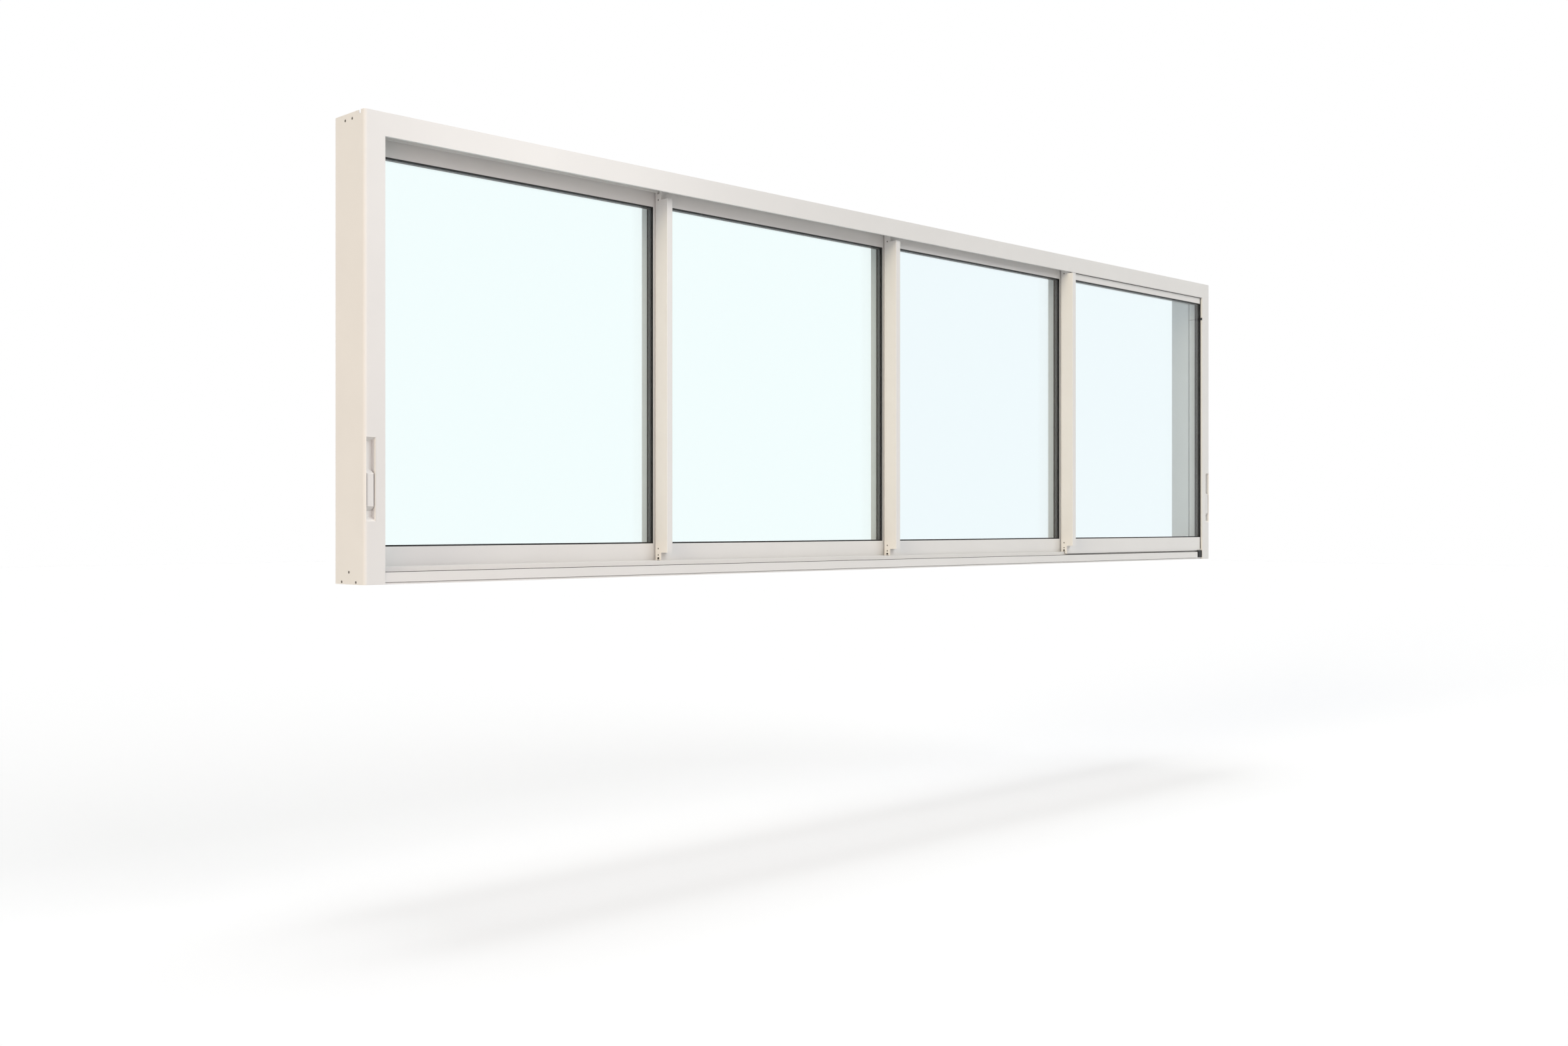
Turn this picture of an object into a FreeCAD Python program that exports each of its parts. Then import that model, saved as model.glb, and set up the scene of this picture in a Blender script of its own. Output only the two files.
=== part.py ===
import FreeCAD, Part
import math
import os
import Sketcher

# Four-panel stacking sliding window, millimetres, +Z up.
# X runs along the window, Y from the front to the back, and the origin is at
# the middle of the sill's underside.

# Outer frame
frame_width = 3446
frame_height = 1000
frame_depth = 125
face_width = 50
frame_wall = 2
jamb_box_width = 20
jamb_lip_depth = 7
jamb_corner_radius = 8

# Head: open channel with one hanging guide for each sash
head_channel_depth = 28
guide_width = 2
guide_height = 16
top_groove_start = 14
top_groove_width = 8
top_groove_depth = 8

# Sill with its rails, fascia and end plug
sill_base_height = 20
sill_back_lip_height = 26
rail_top_height = 37
rail_cap_height = 5.2
rail_cap_width = 4.6
rail_neck_width = 2
fascia_height = 26
fascia_setback = 1.5
fascia_wall = 1.2
fascia_left_gap = 1
fascia_right_gap = 31
drip_groove_start = 3
drip_groove_height = 2
drip_groove_depth = 4.2
end_plug_length = 24
end_plug_bottom = 7
end_plug_top = 32
end_plug_foot = 6
end_plug_gap = 1

# Sashes
first_sash_setback = 8
last_sash_setback = 17
sash_gap = 4
sash_wall = 1.8
sash_overlap = 14
left_closing_gap = 2
right_closing_gap = 12
skirt_overlap = 6
sash_head_gap = 4
guide_slot_width = 8
guide_end_gap = 2
stile_width = 18
bottom_rail_height = 48
top_rail_height = 45.5
roller_channel_height = 21
rail_side_gap = 2
rail_top_gap = 1.5
fin_depth = 23
fin_bottom_gap = 25
fin_top_gap = 6
fin_edge_radius = 1

# Glazing
glazing_lip_wall = 1.5
glazing_pocket_depth = 10
gasket_wall = 1
gasket_lip = 3
bead_setback = 0.3
pane_thickness = 4
spacer_reveal = 0.5

# Rollers
wheel_tread_radius = 6
wheel_flange_radius = 8
wheel_groove_width = 5.4
wheel_width = 9.4
axle_radius = 2
carriage_length = 60
carriage_side_gap = 0.3
carriage_slot_length = 20
carriage_slot_gap = 0.4
carriage_inset = 60

# Closing profiles in the jambs
filler_gap = 4
filler_wall = 1.6
filler_top_gap = 1

# Slide latches
latch_edge_inset = 3.7
latch_width = 24.4
latch_bottom = 133
latch_height = 180.4
latch_depth = 16.4
latch_floor = 1.4
latch_rim = 1.6
latch_edge_radius = 1.2
latch_side_gap = 0.5
upper_ramp_height = 7
lower_ramp_height = 9.6
slide_width = 16.4
slide_height = 68
slide_bottom_gap = 31.4
slide_sink = 1.2
slide_end_ramp = 9.6
slide_wall = 2
slide_edge_radius = 2.5

doc = FreeCAD.newDocument("SlidingWindow")

# One sheet row for each size: its name, and its value under an alias of the same name
sizes = doc.addObject("Spreadsheet::Sheet", "Sizes")
driving_sizes = dict(
    frame_width=frame_width, frame_height=frame_height, frame_depth=frame_depth,
    face_width=face_width, frame_wall=frame_wall, jamb_box_width=jamb_box_width,
    jamb_lip_depth=jamb_lip_depth, jamb_corner_radius=jamb_corner_radius,
    head_channel_depth=head_channel_depth, guide_width=guide_width, guide_height=guide_height,
    top_groove_start=top_groove_start, top_groove_width=top_groove_width,
    top_groove_depth=top_groove_depth, sill_base_height=sill_base_height,
    sill_back_lip_height=sill_back_lip_height, rail_top_height=rail_top_height,
    rail_cap_height=rail_cap_height, rail_cap_width=rail_cap_width,
    rail_neck_width=rail_neck_width, fascia_height=fascia_height,
    fascia_setback=fascia_setback, fascia_wall=fascia_wall, fascia_left_gap=fascia_left_gap,
    fascia_right_gap=fascia_right_gap, drip_groove_start=drip_groove_start,
    drip_groove_height=drip_groove_height, drip_groove_depth=drip_groove_depth,
    end_plug_length=end_plug_length, end_plug_bottom=end_plug_bottom,
    end_plug_top=end_plug_top, end_plug_foot=end_plug_foot, end_plug_gap=end_plug_gap,
    first_sash_setback=first_sash_setback, last_sash_setback=last_sash_setback,
    sash_gap=sash_gap,
    sash_wall=sash_wall, sash_overlap=sash_overlap, left_closing_gap=left_closing_gap,
    right_closing_gap=right_closing_gap, skirt_overlap=skirt_overlap,
    sash_head_gap=sash_head_gap, guide_slot_width=guide_slot_width,
    guide_end_gap=guide_end_gap, stile_width=stile_width,
    bottom_rail_height=bottom_rail_height, top_rail_height=top_rail_height,
    roller_channel_height=roller_channel_height, rail_side_gap=rail_side_gap,
    rail_top_gap=rail_top_gap, fin_depth=fin_depth, fin_bottom_gap=fin_bottom_gap,
    fin_top_gap=fin_top_gap, fin_edge_radius=fin_edge_radius,
    glazing_lip_wall=glazing_lip_wall, glazing_pocket_depth=glazing_pocket_depth,
    gasket_wall=gasket_wall, gasket_lip=gasket_lip, bead_setback=bead_setback,
    pane_thickness=pane_thickness, spacer_reveal=spacer_reveal,
    wheel_tread_radius=wheel_tread_radius, wheel_flange_radius=wheel_flange_radius,
    wheel_groove_width=wheel_groove_width, wheel_width=wheel_width, axle_radius=axle_radius,
    carriage_length=carriage_length, carriage_side_gap=carriage_side_gap,
    carriage_slot_length=carriage_slot_length, carriage_slot_gap=carriage_slot_gap,
    carriage_inset=carriage_inset, filler_gap=filler_gap, filler_wall=filler_wall,
    filler_top_gap=filler_top_gap, latch_edge_inset=latch_edge_inset,
    latch_width=latch_width, latch_bottom=latch_bottom, latch_height=latch_height,
    latch_depth=latch_depth, latch_floor=latch_floor, latch_rim=latch_rim,
    latch_edge_radius=latch_edge_radius, latch_side_gap=latch_side_gap,
    upper_ramp_height=upper_ramp_height, lower_ramp_height=lower_ramp_height,
    slide_width=slide_width, slide_height=slide_height, slide_bottom_gap=slide_bottom_gap,
    slide_sink=slide_sink, slide_end_ramp=slide_end_ramp, slide_wall=slide_wall,
    slide_edge_radius=slide_edge_radius)
for row_number, (alias, value) in enumerate(driving_sizes.items(), start=1):
    sizes.set("A%d" % row_number, alias)
    sizes.set("B%d" % row_number, str(value))
    sizes.setAlias("B%d" % row_number, alias)
doc.recompute()

# A sketch's lines are first laid round a small ring, then its constraints move them
start_radius = 10
start_shift = 0.1

# Edges within this distance of a face's place are taken to lie on it
same_place = 0.01

# The four sashes share the frame's depth between their setbacks, a gap apart
worked_out = {
    "$track_pitch": "($sash_depth + $sash_gap)",
    "$sash_depth": ("(($frame_depth - $first_sash_setback - $last_sash_setback"
                    " - 3 * $sash_gap) / 4)")}


def cells(text):
    """Turn $name into its worked out expression or a reference to its cell of the sheet."""
    for name, expression in worked_out.items():
        text = text.replace(name, expression)
    return text.replace("$", "Sizes.")


def new_body(name, x="0", y="0", z="0"):
    """Start a sub-part whose own zero point is placed by three expressions."""
    body = doc.addObject("PartDesign::Body", name)
    body.Label = name
    body.AllowCompound = True
    body.setExpression("Placement.Base.x", cells(x))
    body.setExpression("Placement.Base.y", cells(y))
    body.setExpression("Placement.Base.z", cells(z))
    return body


def new_sketch(body, name, plane, offset="0"):
    """Attach a sketch to one of the body's origin planes, moved along its normal."""
    sketch = body.newObject("Sketcher::SketchObject", body.Name + "_" + name)
    for feature in body.Origin.OriginFeatures:
        if feature.Role == plane:
            sketch.AttachmentSupport = [(feature, "")]
    sketch.MapMode = "FlatFace"
    sketch.setExpression("AttachmentOffset.Base.z", cells(offset))
    return sketch


def hold(sketch, direction, line, end, start, expression):
    """Hold one end of a line at a distance from the sketch's zero point."""
    held = sketch.addConstraint(Sketcher.Constraint(direction, -1, 1, line, end, start))
    sketch.setExpression("Constraints[%d]" % held, cells(expression))


def draw_outline(sketch, corners):
    """Draw one closed outline; each corner is held by two expressions."""
    first = sketch.GeometryCount
    count = len(corners)
    start = []
    for index in range(count):
        turn = 2 * math.pi * index / count
        start.append(FreeCAD.Vector(start_radius * math.cos(turn) + start_shift,
                                    start_radius * math.sin(turn) + start_shift, 0))
    lines = []
    for index in range(count):
        lines.append(Part.LineSegment(start[index], start[(index + 1) % count]))
    sketch.addGeometry(lines, False)
    joins = []
    for index in range(count):
        following = first + (index + 1) % count
        joins.append(Sketcher.Constraint("Coincident", first + index, 2, following, 1))
    sketch.addConstraint(joins)
    for index, (across, up) in enumerate(corners):
        hold(sketch, "DistanceX", first + index, 1, start[index].x, across)
        hold(sketch, "DistanceY", first + index, 1, start[index].y, up)


def draw_box(sketch, left, low, right, high):
    """Draw a rectangle between two corners."""
    draw_outline(sketch, [(left, low), (right, low), (right, high), (left, high)])


def pad(body, sketch, length):
    """Extrude a sketch along its normal."""
    feature = body.newObject("PartDesign::Pad", sketch.Name + "_pad")
    feature.Profile = sketch
    feature.setExpression("Length", cells(length))
    sketch.Visibility = False


def pocket(body, sketch, length):
    """Cut a sketch out against its normal."""
    feature = body.newObject("PartDesign::Pocket", sketch.Name + "_pocket")
    feature.Profile = sketch
    feature.setExpression("Length", cells(length))
    sketch.Visibility = False


def round_uprights(body, name, radius, chosen):
    """Round the upright edges that a test on their place in plan picks out."""
    doc.recompute()
    base = body.Tip
    picked = []
    for index, edge in enumerate(base.Shape.Edges, start=1):
        box = edge.BoundBox
        if box.ZLength > box.XLength + box.YLength and chosen(box.XMin, box.YMin):
            picked.append("Edge%d" % index)
    fillet = body.newObject("PartDesign::Fillet", body.Name + "_" + name)
    fillet.Base = (base, picked)
    fillet.setExpression("Radius", cells(radius))


# Places that several pieces share
left_edge = "-$frame_width / 2"
right_edge = "$frame_width / 2"
front_face = "-$frame_depth / 2"
frame_back = "$frame_depth"
lip_back = "$frame_depth - $jamb_lip_depth"
track_centres = ["$first_sash_setback + $sash_depth / 2 + %d * $track_pitch" % track
                 for track in range(4)]
clear_run = "$frame_width - 2 * $jamb_box_width"
notch_length = "$face_width - $jamb_box_width"
head_underside = "($frame_height - $face_width)"
guide_bottom = "(" + head_underside + " + $head_channel_depth - $guide_height)"
sash_width = ("((" + clear_run + " - $left_closing_gap - $right_closing_gap"
              " + 3 * $sash_overlap) / 4)")
sash_bottom = "($rail_top_height - $skirt_overlap)"
sash_top = "(" + head_underside + " + $head_channel_depth - $sash_head_gap)"
sash_middle = "$sash_depth / 2"


def head():
    """Top of the frame: a hollow box with two lips and a guide over each track."""
    body = new_body("head", left_edge + " + $jamb_box_width", front_face, head_underside)
    sketch = new_sketch(body, "section", "YZ_Plane")
    ceiling = "$head_channel_depth"
    guide_end = ceiling + " - $guide_height"
    corners = [("0", "0"), ("$jamb_lip_depth", "0"), ("$jamb_lip_depth", ceiling)]
    for centre in track_centres:
        guide_front = centre + " - $guide_width / 2"
        guide_back = centre + " + $guide_width / 2"
        corners.append((guide_front, ceiling))
        corners.append((guide_front, guide_end))
        corners.append((guide_back, guide_end))
        corners.append((guide_back, ceiling))
    groove_end = "$top_groove_start + $top_groove_width"
    groove_floor = "$face_width - $top_groove_depth"
    corners += [(lip_back, ceiling), (lip_back, "0"), (frame_back, "0"),
                (frame_back, "$face_width"), (groove_end, "$face_width"),
                (groove_end, groove_floor), ("$top_groove_start", groove_floor),
                ("$top_groove_start", "$face_width"), ("0", "$face_width")]
    draw_outline(sketch, corners)
    # chambers in the two lips
    draw_box(sketch, "$frame_wall", "$frame_wall", "$jamb_lip_depth - $frame_wall", ceiling)
    draw_box(sketch, lip_back + " + $frame_wall", "$frame_wall",
             frame_back + " - $frame_wall", ceiling)
    # chambers above the channel, the first one under the top groove
    floor = ceiling + " + $frame_wall"
    front_end = groove_end + " + $frame_wall"
    bay = "(($frame_depth - $frame_wall - (" + front_end + " + $frame_wall)) / 3)"
    draw_box(sketch, "$frame_wall", floor, front_end, groove_floor + " - $frame_wall")
    for index in range(3):
        bay_start = front_end + " + $frame_wall + %d * " % index + bay
        bay_end = front_end + " + %d * " % (index + 1) + bay
        if index == 2:
            bay_end = "$frame_depth - $frame_wall"
        draw_box(sketch, bay_start, floor, bay_end, "$face_width - $frame_wall")
    pad(body, sketch, clear_run)
    end_notches(body, "front_notches", "$face_width", "0", "$jamb_lip_depth")
    end_notches(body, "back_notches", "$face_width", lip_back, frame_back)
    return body


def end_notches(body, name, top, front, back):
    """Clear both ends of an extrusion for a lip of the jambs."""
    sketch = new_sketch(body, name, "XY_Plane", top)
    draw_box(sketch, "0", front, notch_length, back)
    draw_box(sketch, clear_run + " - (" + notch_length + ")", front, clear_run, back)
    pocket(body, sketch, top)


def sill():
    """Bottom of the frame: a hollow base with four raised rails and a back lip."""
    body = new_body("sill", left_edge + " + $jamb_box_width", front_face)
    sketch = new_sketch(body, "section", "YZ_Plane")
    base = "$sill_base_height"
    cap_low = "$rail_top_height - $rail_cap_height"
    top = "$rail_top_height"
    corners = [("$jamb_lip_depth", "0"), (frame_back, "0"),
               (frame_back, "$sill_back_lip_height"), (lip_back, "$sill_back_lip_height"),
               (lip_back, base)]
    for centre in reversed(track_centres):
        neck_front = centre + " - $rail_neck_width / 2"
        neck_back = centre + " + $rail_neck_width / 2"
        cap_front = centre + " - $rail_cap_width / 2"
        cap_back = centre + " + $rail_cap_width / 2"
        corners.append((neck_back, base))
        corners.append((neck_back, cap_low))
        corners.append((cap_back, cap_low))
        corners.append((cap_back, top))
        corners.append((cap_front, top))
        corners.append((cap_front, cap_low))
        corners.append((neck_front, cap_low))
        corners.append((neck_front, base))
    corners.append(("$jamb_lip_depth", base))
    draw_outline(sketch, corners)
    # a web under each rail divides the base into chambers
    half_web = "$frame_wall / 2"
    starts = ["$jamb_lip_depth + $frame_wall"]
    ends = []
    for centre in track_centres:
        ends.append(centre + " - " + half_web)
        starts.append(centre + " + " + half_web)
    ends.append("$frame_depth - $frame_wall")
    for start, end in zip(starts, ends):
        draw_box(sketch, start, "$frame_wall", end, "$sill_base_height - $frame_wall")
    pad(body, sketch, clear_run)
    end_notches(body, "back_notches", "$rail_top_height", lip_back, frame_back)
    return body


def sill_front_lip():
    """Clipped fascia along the front of the sill, short of the right jamb."""
    body = new_body("sill_front_lip", left_edge + " + $face_width + $fascia_left_gap",
                    front_face)
    sketch = new_sketch(body, "section", "YZ_Plane")
    front = "$fascia_setback"
    back = "$jamb_lip_depth"
    groove_top = "$drip_groove_start + $drip_groove_height"
    groove_back = front + " + $drip_groove_depth"
    draw_outline(sketch, [
        (front, "0"), (back, "0"), (back, "$fascia_height"), (front, "$fascia_height"),
        (front, groove_top), (groove_back, groove_top),
        (groove_back, "$drip_groove_start"), (front, "$drip_groove_start")])
    draw_box(sketch, front + " + $fascia_wall", groove_top + " + $fascia_wall",
             back + " - $fascia_wall", "$fascia_height - $fascia_wall")
    pad(body, sketch, "$frame_width - 2 * $face_width - $fascia_left_gap - $fascia_right_gap")
    return body


def sill_end_plug():
    """Rubber plug between the fascia's end and the right jamb, with a foot on the sill."""
    body = new_body("sill_end_plug", right_edge + " - $face_width - $end_plug_length",
                    front_face)
    sketch = new_sketch(body, "section", "YZ_Plane")
    front = "$fascia_setback"
    back = "$jamb_lip_depth"
    foot_back = back + " + $end_plug_foot"
    foot_top = sash_bottom + " - $end_plug_gap"
    draw_outline(sketch, [
        (front, "$end_plug_bottom"), (back, "$end_plug_bottom"), (back, "$sill_base_height"),
        (foot_back, "$sill_base_height"), (foot_back, foot_top), (back, foot_top),
        (back, "$end_plug_top"), (front, "$end_plug_top")])
    pad(body, sketch, "$end_plug_length")
    return body


def jamb(name, edge, inward):
    """Side of the frame: a hollow box with a front and a back lip."""
    body = new_body(name, edge, front_face)
    sketch = new_sketch(body, "section", "XY_Plane")

    def across(text):
        return inward + "(" + text + ")"

    lip = "$jamb_lip_depth"
    draw_outline(sketch, [
        (across("0"), "0"), (across("$face_width"), "0"), (across("$face_width"), lip),
        (across("$jamb_box_width"), lip), (across("$jamb_box_width"), lip_back),
        (across("$face_width"), lip_back), (across("$face_width"), frame_back),
        (across("0"), frame_back)])
    wall = "$frame_wall"
    box_inside = across("$jamb_box_width - $frame_wall")
    third = "(($frame_depth - $frame_wall) / 3)"
    for index in range(3):
        draw_box(sketch, across(wall), "$frame_wall + %d * " % index + third,
                 box_inside, "%d * " % (index + 1) + third)
    lip_end = across("$face_width - $frame_wall")
    draw_box(sketch, across("$jamb_box_width"), wall, lip_end, lip + " - " + wall)
    draw_box(sketch, across("$jamb_box_width"), lip_back + " + " + wall, lip_end,
             frame_back + " - " + wall)
    pad(body, sketch, "$frame_height")
    # the outer corners are rounded, and the chambers behind them keep the wall's thickness
    depth = sizes.get("frame_depth")
    skin = sizes.get("frame_wall")

    def outer_corner(x, y):
        return (math.isclose(x, 0, abs_tol=same_place)
                and (y < same_place or y > depth - same_place))

    def chamber_corner(x, y):
        return (math.isclose(abs(x), skin, abs_tol=same_place)
                and (y < skin + same_place or y > depth - skin - same_place))

    round_uprights(body, "chamber_corners", "$jamb_corner_radius - $frame_wall",
                   chamber_corner)
    round_uprights(body, "outer_corners", "$jamb_corner_radius", outer_corner)
    # window for the slide latch in the front wall
    cut = new_sketch(body, "latch_window", "XZ_Plane")
    draw_box(cut, across("$latch_edge_inset"), "$latch_bottom",
             across("$latch_edge_inset + $latch_width"), "$latch_bottom + $latch_height")
    pocket(body, cut, "$latch_depth")
    # notch that carries the head's top groove out to the side
    notch = new_sketch(body, "top_groove", "XY_Plane", "$frame_height")
    draw_box(notch, across("0"), "$top_groove_start", across("$jamb_box_width"),
             "$top_groove_start + $top_groove_width")
    pocket(body, notch, "$top_groove_depth")
    return body


def jamb_filler(name, edge, inward, front, back):
    """Hollow closing profile in the part of a jamb where no sash enters."""
    body = new_body(name, edge, front_face)
    sketch = new_sketch(body, "section", "XY_Plane", "$rail_top_height")
    near = inward + "$jamb_box_width"
    far = inward + "$face_width"
    draw_box(sketch, near, front, far, back)
    draw_box(sketch, inward + "($jamb_box_width + $filler_wall)", front + " + $filler_wall",
             inward + "($face_width - $filler_wall)", back + " - $filler_wall")
    pad(body, sketch, guide_bottom + " - $filler_top_gap - $rail_top_height")
    return body


def latch_clearance(filler):
    """Notch the left closing profile where the latch's tray reaches behind the lip."""
    cut = new_sketch(filler, "latch_notch", "XZ_Plane", "-$jamb_lip_depth")
    draw_box(cut, "$jamb_box_width", "$latch_bottom - $latch_side_gap",
             "$latch_edge_inset + $latch_width + $latch_side_gap",
             "$latch_bottom + $latch_height + $latch_side_gap")
    pocket(filler, cut, "$latch_depth - $jamb_lip_depth + $latch_side_gap")


def latch_case(name, edge, inward):
    """Sunk tray of a slide latch, whose bed rises in a ramp at both ends."""
    body = new_body(name, edge, front_face)
    left = "$latch_edge_inset"
    right = "$latch_edge_inset + $latch_width"
    top = "$latch_bottom + $latch_height"

    def across(text):
        return inward + "(" + text + ")"

    sketch = new_sketch(body, "plate", "XZ_Plane", "-$latch_depth")
    draw_box(sketch, across(left), "$latch_bottom", across(right), top)
    pad(body, sketch, "$latch_depth")
    round_uprights(body, "front_edges", "$latch_edge_radius", lambda x, y: y < same_place)
    recess_half = "($latch_width / 2 - $latch_rim)"
    recess = new_sketch(body, "recess", "YZ_Plane",
                        across(left + " + $latch_width / 2") + " + " + recess_half)
    bed = "$latch_depth - $latch_floor"
    low = "$latch_bottom + $latch_rim"
    high = top + " - $latch_rim"
    draw_outline(recess, [("0", low), (bed, low + " + $lower_ramp_height"),
                          (bed, high + " - $upper_ramp_height"), ("0", high)])
    pocket(body, recess, "2 * " + recess_half)
    return body


def latch_slide(name, edge, inward):
    """Hollow grip bar that slides up and down on the latch's bed."""
    body = new_body(name, edge, front_face)
    middle = inward + "($latch_edge_inset + $latch_width / 2)"
    bed = "$latch_depth - $latch_floor"
    low = "$latch_bottom + $latch_rim + $slide_bottom_gap"
    high = low + " + $slide_height"
    sketch = new_sketch(body, "profile", "YZ_Plane", middle + " - $slide_width / 2")
    draw_outline(sketch, [("$slide_sink", low), (bed, low + " - $slide_end_ramp"),
                          (bed, high + " + $slide_end_ramp"), ("$slide_sink", high)])
    pad(body, sketch, "$slide_width")
    sink = sizes.get("slide_sink")
    round_uprights(body, "front_edges", "$slide_edge_radius",
                   lambda x, y: y < sink + same_place)
    inside_half = "($slide_width / 2 - $slide_wall)"
    hollow = new_sketch(body, "hollow", "XZ_Plane", "-($slide_sink + $slide_wall)")
    draw_box(hollow, middle + " - " + inside_half, low + " + $slide_wall",
             middle + " + " + inside_half, high + " - $slide_wall")
    pocket(body, hollow, bed + " - $slide_sink - $slide_wall")
    return body


def sash_place(number):
    """Where a sash's left front edge is; sash 1 is at the left and furthest back."""
    steps = number - 1
    x = (left_edge + " + $jamb_box_width + $left_closing_gap + %d * (" % steps
         + sash_width + " - $sash_overlap)")
    y = front_face + " + $first_sash_setback + %d * $track_pitch" % (4 - number)
    return x, y


def stile(name, place, side):
    """Upright of a sash: a glazing channel with a chamber, and a hollow pull fin."""
    body = new_body(name, *place)

    def across(text):
        if side == "left":
            return text
        return sash_width + " - (" + text + ")"

    back = "$sash_depth"
    lip = "$glazing_lip_wall"
    back_lip = "$sash_depth - $glazing_lip_wall"
    pocket_floor = across("$stile_width - $glazing_pocket_depth")
    inner = across("$stile_width")
    section = new_sketch(body, "section", "XY_Plane", sash_bottom)
    draw_outline(section, [
        (across("0"), "0"), (inner, "0"), (inner, lip), (pocket_floor, lip),
        (pocket_floor, back_lip), (inner, back_lip), (inner, back), (across("0"), back)])
    draw_box(section, across("$sash_wall"), "$sash_wall",
             across("$stile_width - $glazing_pocket_depth - $sash_wall"),
             "$sash_depth - $sash_wall")
    pad(body, section, sash_top + " - " + sash_bottom)
    # slots through which the head's guide and the sill's rail pass
    guide_slot = new_sketch(body, "guide_slot", "XY_Plane", sash_top)
    draw_box(guide_slot, across("0"), sash_middle + " - $guide_slot_width / 2",
             inner, sash_middle + " + $guide_slot_width / 2")
    pocket(body, guide_slot, "$guide_height - $sash_head_gap + $guide_end_gap")
    rail_half = "($rail_cap_width / 2 + $rail_side_gap)"
    rail_slot = new_sketch(body, "rail_slot", "XY_Plane", "$rail_top_height + $rail_top_gap")
    draw_box(rail_slot, across("0"), sash_middle + " - " + rail_half,
             inner, sash_middle + " + " + rail_half)
    pocket(body, rail_slot, "$skirt_overlap + $rail_top_gap")
    if side == "left":
        fin_start = "-$fin_depth"
        fin_end = "0"
    else:
        fin_start = "$sash_depth"
        fin_end = "$sash_depth + $fin_depth"
    fin_low = sash_bottom + " + $fin_bottom_gap"
    fin = new_sketch(body, "fin", "XY_Plane", fin_low)
    draw_box(fin, across("0"), fin_start, inner, fin_end)
    draw_box(fin, across("$sash_wall"), fin_start + " + $sash_wall",
             across("$stile_width - $sash_wall"), fin_end + " - $sash_wall")
    pad(body, fin, head_underside + " - $fin_top_gap - (" + fin_low + ")")
    doc.recompute()
    reach = body.Tip.Shape.BoundBox
    fin_face = reach.YMin if side == "left" else reach.YMax
    round_uprights(body, "fin_edges", "$fin_edge_radius",
                   lambda x, y: math.isclose(y, fin_face, abs_tol=same_place))
    return body


def rail_length():
    return sash_width + " - 2 * $stile_width"


def top_rail(name, place):
    """Top of a sash: a glazing channel, a chamber and the slot for the head's guide."""
    body = new_body(name, *place)
    section = new_sketch(body, "section", "YZ_Plane", "$stile_width")
    low = sash_top + " - $top_rail_height"
    floor = low + " + $glazing_pocket_depth"
    lip = "$glazing_lip_wall"
    back_lip = "$sash_depth - $glazing_lip_wall"
    slot_front = sash_middle + " - $guide_slot_width / 2"
    slot_back = sash_middle + " + $guide_slot_width / 2"
    slot_floor = guide_bottom + " - $guide_end_gap"
    under_flange = sash_top + " - $sash_wall"
    inside_back = "$sash_depth - $sash_wall"
    draw_outline(section, [
        ("0", low), (lip, low), (lip, floor), (back_lip, floor), (back_lip, low),
        ("$sash_depth", low), ("$sash_depth", sash_top), (slot_back, sash_top),
        (slot_back, under_flange), (inside_back, under_flange), (inside_back, slot_floor),
        ("$sash_wall", slot_floor), ("$sash_wall", under_flange),
        (slot_front, under_flange), (slot_front, sash_top), ("0", sash_top)])
    draw_box(section, "$sash_wall", floor + " + $sash_wall", inside_back,
             slot_floor + " - $sash_wall")
    pad(body, section, rail_length())
    return body


def bottom_rail(name, place):
    """Foot of a sash: glazing channel, chamber and the open roller channel."""
    body = new_body(name, *place)
    section = new_sketch(body, "section", "YZ_Plane", "$stile_width")
    high = sash_bottom + " + $bottom_rail_height"
    floor = high + " - $glazing_pocket_depth"
    channel_top = sash_bottom + " + $roller_channel_height"
    lip = "$glazing_lip_wall"
    back_lip = "$sash_depth - $glazing_lip_wall"
    draw_outline(section, [
        ("0", sash_bottom), ("$sash_wall", sash_bottom), ("$sash_wall", channel_top),
        ("$sash_depth - $sash_wall", channel_top), ("$sash_depth - $sash_wall", sash_bottom),
        ("$sash_depth", sash_bottom), ("$sash_depth", high), (back_lip, high),
        (back_lip, floor), (lip, floor), (lip, high), ("0", high)])
    draw_box(section, "$sash_wall", channel_top + " + $sash_wall", "$sash_depth - $sash_wall",
             floor + " - $sash_wall")
    pad(body, section, rail_length())
    return body


# Insulating glass unit in its gasket, measured from the sash's left front edge
unit_left = "$stile_width - $glazing_pocket_depth + $gasket_wall"
unit_right = sash_width + " - (" + unit_left + ")"
opening_low = sash_bottom + " + $bottom_rail_height"
opening_high = sash_top + " - $top_rail_height"
unit_low = "(" + opening_low + " - $glazing_pocket_depth + $gasket_wall)"
unit_high = "(" + opening_high + " + $glazing_pocket_depth - $gasket_wall)"
unit_front = "($glazing_lip_wall + $gasket_wall)"
unit_back = "($sash_depth - $glazing_lip_wall - $gasket_wall)"
sight_left = "$stile_width + $gasket_lip"
sight_right = sash_width + " - (" + sight_left + ")"
sight_low = opening_low + " + $gasket_lip"
sight_high = opening_high + " - $gasket_lip"


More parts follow.
